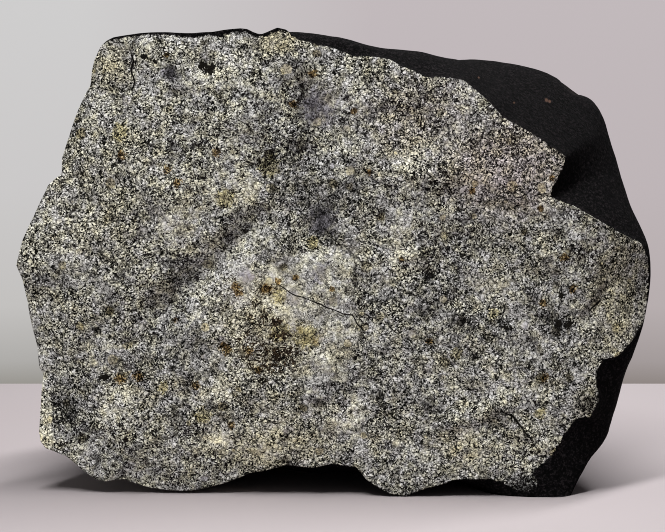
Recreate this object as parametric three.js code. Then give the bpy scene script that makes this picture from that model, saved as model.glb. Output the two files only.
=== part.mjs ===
// Chondrite meteorite: one stone, broken across its front, with dark fusion crust over the rest.
//
// Millimetres. X runs to the right along the broken face, Y runs back into the stone, Z is up.
// The stone rests on small flat spots at Z = 0, and its box is centred on the origin in X and Y.
//
// The skin is two sheets sewn along the rim of the broken face. The front sheet is the break.
// The back sheet is the crust: it runs from the rim over the girth, the widest outline, to the
// waist and the back edge, and closes on the middle of the back.

import * as THREE from 'three';

// ---- Driving sizes ----

const COLUMNS = 50;                 // cells across each sheet
const ROWS = 38;                    // cells up each sheet
const AXIS_Z = 35;                  // height of the axis that bearings are measured about
const FACE_HALF_WIDTH = 46;         // smooth oval that the middle of the break is gridded on
const FACE_HALF_HEIGHT = 34;
const BACK_MIDDLE_Y = 56;           // furthest point of the back
const EDGE_ROUNDING = 6;            // power of the share: the break turns back only near its rim
const RIM_ROUGHNESS = 0.4;          // share of the break's relief that is left at its rim
const CRUST_LEAD = 0.12;            // share over which the crust takes up its own relief

// Rim of the broken face as [x, y, z], clockwise from the top left corner.
const RIM = [
  [-36.5, 4, 62.3], [-36.2, 3.5, 64.5], [-35.8, 3.5, 66], [-34.8, 3, 68], [-33.9, 3, 68.9],
  [-32.8, 2.5, 69.4], [-30.2, 2, 69.8], [-28.7, 1.8, 70], [-25.2, 1.5, 70.1], [-21.2, 1.5, 69.8],
  [-18.2, 1, 70.1], [-16, 1, 70.5], [-13.7, 0.5, 70.7], [-12.7, 0.5, 70.6], [-11.5, 0.5, 70],
  [-10.6, 0.5, 69.8], [-9.6, 0.5, 70.2], [-8.2, 0.5, 70.8], [-6.9, 0.5, 70.5], [-5, 1, 68.9],
  [-1.6, 1, 68.2], [3, 1, 66.6], [8.2, 1, 66.2], [10.6, 0.5, 64.9], [14, 0.5, 63.5],
  [17.3, 0.5, 63.4], [19.5, 1, 63], [22.3, 1, 60.7], [25.6, 1, 57.3], [29.7, 1, 55.1],
  [32.8, 1, 53], [35, 1.5, 51.6], [34.4, 1.5, 49.6], [33, 1, 47], [32.6, 1, 45.7],
  [35.3, 1, 44.6], [38.9, 1.5, 42.7], [43.4, 3, 40], [47.2, 5, 38.2], [48.6, 7, 35.4],
  [48.8, 8, 32.2], [48.2, 7, 26.4], [46.1, 5, 23.3], [43.4, 3, 21.1], [41.1, 2, 20.8],
  [40.1, 1.5, 19], [40, 1.5, 17], [40.6, 1.5, 15], [39.2, 1.5, 12], [37.2, 1, 12], [35.5, 1, 9.9],
  [33.7, 0.5, 6.9], [31.9, 0.5, 4.9], [28.8, 0, 3.4], [26.4, 0, 2.3], [23.8, 0, 2.9],
  [18.9, 0, 2.7], [14.1, 0, 1.3], [11, 0, 0.1], [8.7, 0, 0.5], [5.2, 0.5, 2.5], [3.6, 1, 4.4],
  [-0.1, 1, 4.9], [-3.1, 1, 4.3], [-7.1, 1, 4.7], [-12.5, 1.8, 3.3], [-15, 2, 2.2],
  [-18.4, 2.4, 1.1], [-21.9, 2.4, 0.4], [-25.2, 2.5, 0.5], [-28.7, 2.6, 1], [-32.3, 2.6, 2.3],
  [-34.9, 2.4, 1.8], [-36.3, 2.4, 2.1], [-37.9, 2.6, 3.2], [-39.2, 2.8, 4.3], [-40.8, 3, 5.6],
  [-42.9, 3.3, 6.4], [-44.1, 3.6, 6.8], [-44.9, 4, 7.8], [-45.2, 4.5, 9.2], [-45, 5, 12.5],
  [-44.4, 5, 18.1], [-45, 5, 18.9], [-45.3, 5, 22.3], [-46.7, 5, 29.4], [-47.2, 4, 32.8],
  [-48.1, 4, 35], [-47.1, 4, 38.8], [-45.3, 4, 42.6], [-43.5, 4, 46.3], [-43.2, 4, 47.1],
  [-42.2, 4, 48], [-41, 4, 48.9], [-41, 4, 51.2], [-39.9, 4, 54.4], [-38.3, 4, 58.8],
  [-37.2, 4, 61.1],
];

// Girth as [radius, depth], every ten degrees counter-clockwise from the right.
const GIRTH = [
  [49.7, 9], [48.5, 14], [48.8, 18.5], [49.2, 22], [45.9, 22], [40.6, 20], [36.6, 13],
  [34.7, 9], [33.4, 6], [34.2, 5], [36.1, 4], [37.4, 4], [40.9, 4], [46, 5], [45.3, 8], [44, 11],
  [44.2, 13], [45.4, 14], [47.2, 14], [46.4, 14], [47, 13], [50, 13], [47.5, 12], [43, 12],
  [38.4, 13], [35.4, 13], [33.8, 13], [33.3, 13], [33.9, 12], [35.8, 12], [40, 10],
  [48.5, 0.5], [49.5, 2.5], [50.4, 9], [49.3, 10], [49.2, 9],
];

// Waist and back edge as [radius, depth], every thirty degrees counter-clockwise from the right.
const WAIST = [
  [47, 34], [48, 36], [35, 36], [31, 32], [35, 32], [43, 34],
  [45, 34], [44, 34], [38.2, 34], [33.2, 34], [38.4, 34], [45, 34],
];
const BACK_EDGE = [
  [39, 50], [38, 51], [29, 50], [25.5, 48], [28, 48], [34, 49],
  [37, 49], [37, 48], [32, 49], [29, 50], [33, 50], [38, 50],
];

// How far back past the rim the stone is broken, every fifteen degrees: only its left side is.
const BROKEN_REACH = [
  0, 0, 0, 0, 0, 0, 0, 0, 0, 1, 9, 15, 17, 16.5, 14, 10, 5, 1.5, 0, 0, 0, 0, 0, 0,
];
const BROKEN_STEP = 0.8;            // how far the broken side lies below the crust beside it
const STEP_WIDTH = 1.5;             // depth over which the step is taken

// Share of the way from the rim to the middle of the back at which each outline is reached.
// The last step mirrors the back edge past the middle, which keeps the back smooth there.
const OUTLINE_STEPS = [0, 0.2, 0.42, 0.66, 1, 1.34];

// Lumps of the break: [spacing, height]. The creased ones meet in sharp valleys.
const ROUND_LUMPS = [[15, 0.9], [3.7, 0.45]];
const CREASED_LUMPS = [[7.5, 1]];
const CREASE_LEVEL = 0.3;           // usual height of a creased lump, so they neither raise nor sink

// ---- Small helpers ----

const TURN = 2 * Math.PI;
const clamp = (value, low, high) => Math.min(high, Math.max(low, value));
const ease = (value) => value * value * (3 - 2 * value);
const mix = (a, b, share) => a + (b - a) * share;

// Cubic through four evenly spaced values, at a share of the way from the second to the third.
function throughFour(a, b, c, d, share) {
  const bend = (3 * (b - c) + d - a) * share + 2 * a - 5 * b + 4 * c - d;
  return b + 0.5 * share * (c - a + share * bend);
}

// Closed curve from values at even bearings: returns the value at any bearing.
function evenRing(values) {
  const count = values.length;
  return (bearing) => {
    const place = ((bearing / TURN) % 1 + 1) % 1 * count;
    const first = Math.floor(place);
    const at = (step) => values[(first + step + count) % count];
    return throughFour(at(-1), at(0), at(1), at(2), place - first);
  };
}

// Closed curve from values at their own bearings, joined by straight stretches.
function brokenRing(bearings, values) {
  const order = bearings.map((_, index) => index).sort((a, b) => bearings[a] - bearings[b]);
  const knots = order.map((index) => bearings[index]);
  const sorted = order.map((index) => values[index]);
  return (bearing) => {
    const place = (bearing % TURN + TURN) % TURN;
    let next = knots.findIndex((knot) => knot > place);
    if (next < 0) next = 0;
    const last = (next + knots.length - 1) % knots.length;
    const span = (knots[next] - knots[last] + TURN) % TURN;
    const share = ((place - knots[last] + TURN) % TURN) / span;
    return mix(sorted[last], sorted[next], share);
  };
}

// Curve through values at uneven steps that never swings past them.
function throughKnots(knots, values, place) {
  let cell = 0;
  while (cell < knots.length - 2 && place > knots[cell + 1]) cell += 1;
  const rise = (index) => (values[index + 1] - values[index]) / (knots[index + 1] - knots[index]);
  const slope = (index) => {
    if (index === 0) return rise(0);
    if (index === knots.length - 1) return rise(index - 1);
    const [before, after] = [rise(index - 1), rise(index)];
    return before * after > 0 ? 2 * before * after / (before + after) : 0;
  };
  const width = knots[cell + 1] - knots[cell];
  const share = (place - knots[cell]) / width;
  const early = share * (1 - share) ** 2 * width * slope(cell);
  const late = share ** 2 * (share - 1) * width * slope(cell + 1);
  return mix(values[cell], values[cell + 1], ease(share)) + early + late;
}

// Repeatable random value between -1 and 1 for a whole-numbered lattice point.
function latticeValue(i, j, k) {
  const hash = Math.sin(i * 127.1 + j * 311.7 + k * 74.7) * 43758.5453;
  return 2 * (hash - Math.floor(hash)) - 1;
}

const LUMP_GAIN = 1.6;              // brings the blended tilts up to a height of about 1

// Smooth lumps between about -1 and 1, one every `spacing` millimetres: each point of a skewed
// lattice tilts the space around it at random, and the tilts are blended.
function lumps([x, y, z], spacing) {
  const place = [x + 0.37 * z, y + 0.41 * x, z - 0.29 * y].map((value) => value / spacing);
  const cell = place.map(Math.floor);
  const within = place.map((value, axis) => value - cell[axis]);
  const share = within.map(ease);
  let total = 0;
  for (let corner = 0; corner < 8; corner += 1) {
    const side = [corner & 1, (corner >> 1) & 1, (corner >> 2) & 1];
    const [i, j, k] = cell.map((value, axis) => value + side[axis]);
    const tilt = [latticeValue(i, j, k), latticeValue(i + 31, j, k), latticeValue(i, j + 47, k)];
    const height = tilt.reduce((sum, slope, axis) => sum + slope * (within[axis] - side[axis]), 0);
    total += height * side.reduce((part, s, axis) => part * (s ? share[axis] : 1 - share[axis]), 1);
  }
  return LUMP_GAIN * total;
}

// ---- Outlines as functions of the bearing ----

const rimBearings = RIM.map(([x, , z]) => (Math.atan2(z - AXIS_Z, x) + TURN) % TURN);
const rimRadius = brokenRing(rimBearings, RIM.map(([x, , z]) => Math.hypot(x, z - AXIS_Z)));
const rimDepth = brokenRing(rimBearings, RIM.map(([, y]) => y));
const outlines = [GIRTH, WAIST, BACK_EDGE].map((ring) => ({
  radius: evenRing(ring.map(([radius]) => radius)),
  depth: evenRing(ring.map(([, depth]) => depth)),
}));
const brokenReach = evenRing(BROKEN_REACH);

// ---- The break ----

// A smooth hollow (or, with a negative depth, a swell) around a point of the break.
function hollow(x, z, [middleX, middleZ, halfWidth, halfHeight, depth]) {
  const reach = ((x - middleX) / halfWidth) ** 2 + ((z - middleZ) / halfHeight) ** 2;
  return depth * Math.exp(-reach);
}

// A valley (or, with a negative depth, a ridge) along a straight stretch of the break.
function valley(x, z, [fromX, fromZ, toX, toZ, halfWidth, depth]) {
  const runX = toX - fromX;
  const runZ = toZ - fromZ;
  const along = clamp(((x - fromX) * runX + (z - fromZ) * runZ) / (runX ** 2 + runZ ** 2), 0, 1);
  const away = Math.hypot(x - fromX - along * runX, z - fromZ - along * runZ);
  return depth * Math.exp(-((away / halfWidth) ** 2));
}

// Hollows as [x, z, half width, half height, depth].
const HOLLOWS = [
  [-1.8, 42, 3, 3.4, 1.3],          // dark hollow above the pale clast
  [-2.5, 56, 3.2, 7, 1],            // smooth bluish hollow
  [-10, 21, 5, 4, 0.8],             // pitted patch left of the clast
  [-1, 28, 4.6, 10, -1.2],          // pale clast, standing proud
  [-18.5, 65.2, 1.6, 1.6, 1.2],     // black pit near the top
  [-34, 62, 4, 5, 1.4],             // small facet at the top left corner
  [-40, 12, 6, 7, 1.4],             // shaded flank at the lower left
  [22, 50, 9, 8, -0.9],             // swell at the upper right
  [-22, 52, 9, 8, -0.8],            // swell at the upper left
  [44, 30, 5, 8, 1.2],              // smoother facet at the right end
];

// Valleys as [from x, from z, to x, to z, half width, depth].
const VALLEYS = [
  [-12, 41.5, -26, 28, 2.6, 1.4],   // slanting valley at the left of the clast
  [-3.4, 62, -3.4, 40, 2.8, 0.9],   // upright valley above the clast
  [-30.4, 67, -30.4, 61.5, 1, 0.9], // groove beside the corner facet
  [17, 11, 25.5, 14, 1.6, -0.9],    // curved ledge at the lower right, left half
  [25.5, 14, 31.5, 7, 1.6, -0.9],   // and its right half
  [4.5, 46, 5.2, 24, 1.6, 0.5],     // faint upright crease right of the clast
  [41.5, 30.5, 38.4, 27, 1, 0.8],   // short crack at the right
];

// How deep the lumps of broken stone leave a point.
function roughness(point) {
  const round = ROUND_LUMPS.reduce((sum, [spacing, height]) => sum + height * lumps(point, spacing), 0);
  const creased = CREASED_LUMPS.reduce(
    (sum, [spacing, height]) => sum + height * (CREASE_LEVEL - Math.abs(lumps(point, spacing))), 0);
  return round + creased;
}

function breakRelief(x, z) {
  const swells = HOLLOWS.reduce((sum, item) => sum + hollow(x, z, item), 0);
  const creases = VALLEYS.reduce((sum, item) => sum + valley(x, z, item), 0);
  return swells + creases + roughness([x, 0, z]);
}

// Point of the break at a share of the way out from its middle, along a bearing.
function breakPoint(share, bearing) {
  const oval = 1 / Math.hypot(Math.cos(bearing) / FACE_HALF_WIDTH, Math.sin(bearing) / FACE_HALF_HEIGHT);
  const radius = share * mix(oval, rimRadius(bearing), share ** 2);
  const x = radius * Math.cos(bearing);
  const z = AXIS_Z + radius * Math.sin(bearing);
  const turnBack = share ** EDGE_ROUNDING;
  const y = rimDepth(bearing) * turnBack + breakRelief(x, z) * mix(1, RIM_ROUGHNESS, turnBack);
  return [x, y, z];
}

// ---- The crust ----

// Broad flats planed on the crust as [normal x, y, z, distance from the body's middle, rounding].
const BODY_MIDDLE = [0, 26, 35];
const FLATS = [
  [-0.95, 0.3, 0.1, 39.5, 1.5],     // left side, broken off
  [-0.66, 0.74, -0.1, 35.5, 3],     // left of the back
  [0.66, 0.7, 0.25, 37.5, 4],       // right of the back
  [-0.1, 0.5, 0.86, 28.5, 3],       // slope from the top to the back
  [0.1, 0.85, -0.5, 31.5, 4],       // undercut of the back
];

// Thumbprint hollows of the crust as [x, y, z, radius, depth]. The last four are a short groove at
// the upper right edge and, with a negative depth, a swell above the lower right foot.
const THUMBPRINTS = [
  [46, 20, 46, 9, 1], [33, 16, 60, 8, 0.8], [48, 26, 22, 10, 1.4], [30, 46, 50, 10, 1.6],
  [8, 30, 66, 11, 1.3], [-18, 26, 66, 10, 1.2], [-6, 52, 54, 11, 1.6], [36, 48, 28, 11, 1.6],
  [12, 56, 32, 11, 1.7], [-16, 54, 28, 10, 1.5], [-38, 38, 46, 10, 1.4], [-32, 46, 20, 10, 1.4],
  [4, 52, 10, 10, 1.5], [42, 28, 8, 9, 1.4], [39.3, 20.4, 62.2, 1.9, 1.1],
  [39.3, 22.4, 62.2, 1.9, 0.9], [39.3, 24.6, 62.2, 2, 1.2], [41.8, 8, 6.9, 3, -0.8],
];

// Feet, where the underside comes down, as [x, y, radius, drop].
const FEET = [[33.5, 3, 5, 2.2], [10, 6, 4, 2], [-22, 10, 5, 2], [-19, 32, 7, 3], [20, 36, 8, 3.4]];
const UNDERSIDE_Z = 6;              // the feet fade out above this height

const CRUST_LUMPS = [[22, 1], [9, 0.5]];

// Planes a point back to a flat, with its edge rounded off.
function planed(point, [nx, ny, nz, distance, rounding]) {
  const size = Math.hypot(nx, ny, nz);
  const [mx, my, mz] = BODY_MIDDLE;
  const over = ((point[0] - mx) * nx + (point[1] - my) * ny + (point[2] - mz) * nz) / size - distance;
  const cut = (over + Math.hypot(over, rounding)) / 2;
  return [point[0] - cut * nx / size, point[1] - cut * ny / size, point[2] - cut * nz / size];
}

// How far a point of the crust is pressed in towards the body's middle.
function pressedDepth(point) {
  const prints = THUMBPRINTS.reduce((sum, [x, y, z, radius, depth]) => {
    const away = Math.hypot(point[0] - x, point[1] - y, point[2] - z) / radius;
    return sum + depth * Math.exp(-(away ** 2));
  }, 0);
  return prints + CRUST_LUMPS.reduce((sum, [spacing, height]) => sum + height * lumps(point, spacing), 0);
}

// How far the feet bring a point of the underside down.
function footDrop([x, y, z]) {
  const drop = FEET.reduce(
    (sum, [footX, footY, radius, depth]) =>
      sum + depth * Math.exp(-((x - footX) ** 2 + (y - footY) ** 2) / radius ** 2), 0);
  return drop * ease(clamp(1 - z / UNDERSIDE_Z, 0, 1));
}

// Point of the crust at a share of the way from the rim to the middle of the back.
function crustPoint(share, bearing) {
  const rim = breakPoint(1, bearing);
  const radii = [Math.hypot(rim[0], rim[2] - AXIS_Z), ...outlines.map((ring) => ring.radius(bearing))];
  const depths = [rim[1], ...outlines.map((ring) => ring.depth(bearing))];
  radii.push(0, -radii[3]);
  depths.push(BACK_MIDDLE_Y, depths[3]);
  const radius = throughKnots(OUTLINE_STEPS, radii, share);
  const depth = throughKnots(OUTLINE_STEPS, depths, share);
  const smooth = [radius * Math.cos(bearing), depth, AXIS_Z + radius * Math.sin(bearing)];
  const freed = ease(clamp(share / CRUST_LEAD, 0, 1));
  let point = FLATS.reduce(planed, smooth);
  const broken = ease(clamp((brokenReach(bearing) - depth + rim[1]) / STEP_WIDTH, 0, 1));
  const press = mix(pressedDepth(smooth), BROKEN_STEP + roughness(smooth), broken);
  const inward = BODY_MIDDLE.map((middle, axis) => middle - point[axis]);
  const reach = Math.hypot(...inward);
  point = point.map((value, axis) => value + inward[axis] / reach * press);
  point[2] -= footDrop(point);
  return smooth.map((value, axis) => mix(value, point[axis], freed));
}

// ---- The skin ----

// Turns a place on the square grid into a share of the radius and a bearing, without pinching.
function onDisc(u, v) {
  const across = u * Math.sqrt(1 - v * v / 2);
  const up = v * Math.sqrt(1 - u * u / 2);
  return [Math.min(1, Math.hypot(across, up)), Math.atan2(up, across)];
}

// Nothing reaches below the surface that the stone rests on.
const settled = ([x, y, z]) => [x, y, Math.max(z, 0)];

function stoneGeometry() {
  const points = [];
  const sheetIndex = (makePoint, keepRim) => {
    const index = [];
    for (let row = 0; row <= ROWS; row += 1) {
      index.push([]);
      for (let column = 0; column <= COLUMNS; column += 1) {
        const onRim = row === 0 || row === ROWS || column === 0 || column === COLUMNS;
        if (onRim && keepRim) {
          index[row].push(keepRim[row][column]);
          continue;
        }
        const place = onDisc(2 * column / COLUMNS - 1, 2 * row / ROWS - 1);
        index[row].push(points.length);
        points.push(settled(makePoint(...place)));
      }
    }
    return index;
  };
  const front = sheetIndex(breakPoint, null);
  const back = sheetIndex((share, bearing) => crustPoint(1 - share, bearing), front);

  const triangles = [];
  const addSheet = (index, flipped) => {
    for (let row = 0; row < ROWS; row += 1) {
      for (let column = 0; column < COLUMNS; column += 1) {
        const [a, b] = [index[row][column], index[row][column + 1]];
        const [d, c] = [index[row + 1][column], index[row + 1][column + 1]];
        const rising = (row < ROWS / 2) === (column < COLUMNS / 2);
        const cell = rising ? [[a, b, c], [a, c, d]] : [[a, b, d], [b, c, d]];
        cell.forEach(([p, q, r]) => triangles.push(...(flipped ? [p, r, q] : [p, q, r])));
      }
    }
  };
  addSheet(front, false);
  addSheet(back, true);

  const geometry = new THREE.BufferGeometry();
  geometry.setAttribute('position', new THREE.Float32BufferAttribute(points.flat(), 3));
  geometry.setIndex(triangles);
  geometry.computeBoundingBox();
  const middle = geometry.boundingBox.getCenter(new THREE.Vector3());
  geometry.translate(-middle.x, -middle.y, 0);
  geometry.computeVertexNormals();
  return geometry;
}

const stoneMaterial = new THREE.MeshStandardMaterial({ color: '#757067', roughness: 0.9, metalness: 0 });

const meteorite = new THREE.Mesh(stoneGeometry(), stoneMaterial);
meteorite.name = 'meteorite';

const stone = new THREE.Group();
stone.add(meteorite);

export default stone;
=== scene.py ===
# Chondrite meteorite: the looks of one stone, broken across its front and crusted over the rest.
#
# Shapes are worked out in millimetres in the stone's own frame: X runs to the right along the
# broken face, Y runs back into the stone, Z is up and 0 is the surface that the stone rests on.
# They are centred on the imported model's box and put into the meshes in metres.

import math
from functools import partial

import bpy
import numpy as np
from bpy.props import FloatProperty, FloatVectorProperty, PointerProperty
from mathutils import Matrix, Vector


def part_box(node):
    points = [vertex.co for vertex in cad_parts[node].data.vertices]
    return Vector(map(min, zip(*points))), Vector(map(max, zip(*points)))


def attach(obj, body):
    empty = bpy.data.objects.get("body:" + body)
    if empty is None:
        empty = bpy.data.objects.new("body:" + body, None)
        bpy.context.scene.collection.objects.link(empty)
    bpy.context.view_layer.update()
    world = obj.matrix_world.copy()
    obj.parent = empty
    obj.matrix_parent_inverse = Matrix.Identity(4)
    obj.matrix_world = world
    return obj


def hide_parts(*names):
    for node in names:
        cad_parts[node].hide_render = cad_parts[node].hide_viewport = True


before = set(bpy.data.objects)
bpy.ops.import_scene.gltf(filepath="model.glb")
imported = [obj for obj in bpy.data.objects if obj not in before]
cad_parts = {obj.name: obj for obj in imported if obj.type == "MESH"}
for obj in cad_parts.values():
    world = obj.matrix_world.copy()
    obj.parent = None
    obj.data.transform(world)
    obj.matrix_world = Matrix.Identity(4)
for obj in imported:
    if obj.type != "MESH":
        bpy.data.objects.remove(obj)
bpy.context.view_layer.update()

bl_info = {
    "name": "Chondrite meteorite",
    "version": (1, 0, 0),
    "blender": (4, 5, 0),
    "location": "View3D > Sidebar > Meteorite",
    "description": "Builds a broken stony meteorite with fusion crust, and a plain studio stage",
    "category": "Object",
}

NODE = "meteorite"
STONE = "chondrite_stone"
MM = 0.001
TURN = 2 * math.pi

# ---- Sizes of the stone, in millimetres ----

AXIS_Z = 35.0           # height of the axis that bearings are measured about
FACE_HALF_WIDTH = 46.0  # smooth oval that the middle of the break is gridded on
FACE_HALF_HEIGHT = 34.0
BACK_MIDDLE_Y = 56.0  # furthest point of the back
EDGE_ROUNDING = 6     # power of the share: the break turns back only near its rim
RIM_ROUGHNESS = 0.4   # share of the break's relief that is left at its rim
CRUST_LEAD = 0.12     # share over which the crust takes up its own relief

# Rim of the broken face as [x, y, z], clockwise from the top left corner.
RIM = [
    [-36.5, 4, 62.3], [-36.2, 3.5, 64.5], [-35.8, 3.5, 66], [-34.8, 3, 68], [-33.9, 3, 68.9],
    [-32.8, 2.5, 69.4], [-30.2, 2, 69.8], [-28.7, 1.8, 70], [-25.2, 1.5, 70.1],
    [-21.2, 1.5, 69.8], [-18.2, 1, 70.1], [-16, 1, 70.5], [-13.7, 0.5, 70.7], [-12.7, 0.5, 70.6],
    [-11.5, 0.5, 70], [-10.6, 0.5, 69.8], [-9.6, 0.5, 70.2], [-8.2, 0.5, 70.8], [-6.9, 0.5, 70.5],
    [-5, 1, 68.9], [-1.6, 1, 68.2], [3, 1, 66.6], [8.2, 1, 66.2], [10.6, 0.5, 64.9],
    [14, 0.5, 63.5], [17.3, 0.5, 63.4], [19.5, 1, 63], [22.3, 1, 60.7], [25.6, 1, 57.3],
    [29.7, 1, 55.1], [32.8, 1, 53], [35, 1.5, 51.6], [34.4, 1.5, 49.6], [33, 1, 47],
    [32.6, 1, 45.7], [35.3, 1, 44.6], [38.9, 1.5, 42.7], [43.4, 3, 40], [47.2, 5, 38.2],
    [48.6, 7, 35.4], [48.8, 8, 32.2], [48.2, 7, 26.4], [46.1, 5, 23.3], [43.4, 3, 21.1],
    [41.1, 2, 20.8], [40.1, 1.5, 19], [40, 1.5, 17], [40.6, 1.5, 15], [39.2, 1.5, 12],
    [37.2, 1, 12], [35.5, 1, 9.9], [33.7, 0.5, 6.9], [31.9, 0.5, 4.9], [28.8, 0, 3.4],
    [26.4, 0, 2.3], [23.8, 0, 2.9], [18.9, 0, 2.7], [14.1, 0, 1.3], [11, 0, 0.1], [8.7, 0, 0.5],
    [5.2, 0.5, 2.5], [3.6, 1, 4.4], [-0.1, 1, 4.9], [-3.1, 1, 4.3], [-7.1, 1, 4.7],
    [-12.5, 1.8, 3.3], [-15, 2, 2.2], [-18.4, 2.4, 1.1], [-21.9, 2.4, 0.4], [-25.2, 2.5, 0.5],
    [-28.7, 2.6, 1], [-32.3, 2.6, 2.3], [-34.9, 2.4, 1.8], [-36.3, 2.4, 2.1], [-37.9, 2.6, 3.2],
    [-39.2, 2.8, 4.3], [-40.8, 3, 5.6], [-42.9, 3.3, 6.4], [-44.1, 3.6, 6.8], [-44.9, 4, 7.8],
    [-45.2, 4.5, 9.2], [-45, 5, 12.5], [-44.4, 5, 18.1], [-45, 5, 18.9], [-45.3, 5, 22.3],
    [-46.7, 5, 29.4], [-47.2, 4, 32.8], [-48.1, 4, 35], [-47.1, 4, 38.8], [-45.3, 4, 42.6],
    [-43.5, 4, 46.3], [-43.2, 4, 47.1], [-42.2, 4, 48], [-41, 4, 48.9], [-41, 4, 51.2],
    [-39.9, 4, 54.4], [-38.3, 4, 58.8], [-37.2, 4, 61.1],
]

# Girth as [radius, depth], every ten degrees counter-clockwise from the right.
GIRTH = [
    [49.7, 9], [48.5, 14], [48.8, 18.5], [49.2, 22], [45.9, 22], [40.6, 20], [36.6, 13],
    [34.7, 9], [33.4, 6], [34.2, 5], [36.1, 4], [37.4, 4], [40.9, 4], [46, 5], [45.3, 8], [44, 11],
    [44.2, 13], [45.4, 14], [47.2, 14], [46.4, 14], [47, 13], [50, 13], [47.5, 12], [43, 12],
    [38.4, 13], [35.4, 13], [33.8, 13], [33.3, 13], [33.9, 12], [35.8, 12], [40, 10],
    [48.5, 0.5], [49.5, 2.5], [50.4, 9], [49.3, 10], [49.2, 9],
]

# Waist and back edge as [radius, depth], every thirty degrees counter-clockwise from the right.
WAIST = [
    [47, 34], [48, 36], [35, 36], [31, 32], [35, 32], [43, 34],
    [45, 34], [44, 34], [38.2, 34], [33.2, 34], [38.4, 34], [45, 34],
]
BACK_EDGE = [
    [39, 50], [38, 51], [29, 50], [25.5, 48], [28, 48], [34, 49],
    [37, 49], [37, 48], [32, 49], [29, 50], [33, 50], [38, 50],
]

# How far back past the rim the stone is broken, every fifteen degrees: only its left side is.
BROKEN_REACH = [0, 0, 0, 0, 0, 0, 0, 0, 0, 1, 9, 15, 17, 16.5, 14, 10, 5, 1.5, 0, 0, 0, 0, 0, 0]
BROKEN_STEP = 0.8  # how far the broken side lies below the crust beside it
STEP_WIDTH = 1.5   # depth over which the step is taken

# Share of the way from the rim to the middle of the back at which each outline is reached.
OUTLINE_STEPS = [0, 0.2, 0.42, 0.66, 1, 1.34]

# Lumps of the break: [spacing, height]. The creased ones meet in sharp valleys. Those called
# fine, here and on the crust, are too fine for the solid and are only made here.
ROUND_LUMPS = [[15, 0.9], [3.7, 0.45]]
CREASED_LUMPS = [[7.5, 1]]
FINE_CREASED_LUMPS = [[2.1, 0.42], [1.05, 0.26]]
CREASE_LEVEL = 0.3  # usual height of a creased lump, so they neither raise nor sink

# Hollows as [x, z, half width, half height, depth].
HOLLOWS = [
    [-1.8, 42, 3, 3.4, 1.3], [-2.5, 56, 3.2, 7, 1], [-10, 21, 5, 4, 0.8], [-1, 28, 4.6, 10, -1.2],
    [-18.5, 65.2, 1.6, 1.6, 1.2], [-34, 62, 4, 5, 1.4], [-40, 12, 6, 7, 1.4],
    [22, 50, 9, 8, -0.9], [-22, 52, 9, 8, -0.8], [44, 30, 5, 8, 1.2],
]

# Valleys as [from x, from z, to x, to z, half width, depth].
VALLEYS = [
    [-12, 41.5, -26, 28, 2.6, 1.4], [-3.4, 62, -3.4, 40, 2.8, 0.9],
    [-30.4, 67, -30.4, 61.5, 1, 0.9], [17, 11, 25.5, 14, 1.6, -0.9],
    [25.5, 14, 31.5, 7, 1.6, -0.9], [4.5, 46, 5.2, 24, 1.6, 0.5],
    [41.5, 30.5, 38.4, 27, 1, 0.8],
]

# Broad flats planed on the crust as [normal x, y, z, distance from the body's middle, rounding].
BODY_MIDDLE = [0, 26, 35]
FLATS = [
    [-0.95, 0.3, 0.1, 39.5, 1.5], [-0.66, 0.74, -0.1, 35.5, 3], [0.66, 0.7, 0.25, 37.5, 4],
    [-0.1, 0.5, 0.86, 28.5, 3], [0.1, 0.85, -0.5, 31.5, 4],
]

# Thumbprint hollows of the crust as [x, y, z, radius, depth].
THUMBPRINTS = [
    [46, 20, 46, 9, 1], [33, 16, 60, 8, 0.8], [48, 26, 22, 10, 1.4], [30, 46, 50, 10, 1.6],
    [8, 30, 66, 11, 1.3], [-18, 26, 66, 10, 1.2], [-6, 52, 54, 11, 1.6], [36, 48, 28, 11, 1.6],
    [12, 56, 32, 11, 1.7], [-16, 54, 28, 10, 1.5], [-38, 38, 46, 10, 1.4], [-32, 46, 20, 10, 1.4],
    [4, 52, 10, 10, 1.5], [42, 28, 8, 9, 1.4], [39.3, 20.4, 62.2, 1.9, 1.1],
    [39.3, 22.4, 62.2, 1.9, 0.9], [39.3, 24.6, 62.2, 2, 1.2], [41.8, 8, 6.9, 3, -0.8],
]
CRUST_LUMPS = [[22, 1], [9, 0.5]]
FINE_CRUST_LUMPS = [[3.1, 0.09], [1.3, 0.04]]

# Feet, where the underside comes down, as [x, y, radius, drop].
FEET = [[33.5, 3, 5, 2.2], [10, 6, 4, 2], [-22, 10, 5, 2], [-19, 32, 7, 3], [20, 36, 8, 3.4]]
UNDERSIDE_Z = 6  # the feet fade out above this height

# Cells across and up each sheet. The front is twice as fine, and two of its cells meet one of
# the back's along the rim.
BACK_COLUMNS, BACK_ROWS = 160, 120
FRONT_COLUMNS, FRONT_ROWS = 2 * BACK_COLUMNS, 2 * BACK_ROWS
BACK_CROWDING = 1.35  # power that draws the back sheet's cells towards the rim

# ---- Markings of the break, in millimetres: [x, z, half width, half height, strength] ----

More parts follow.
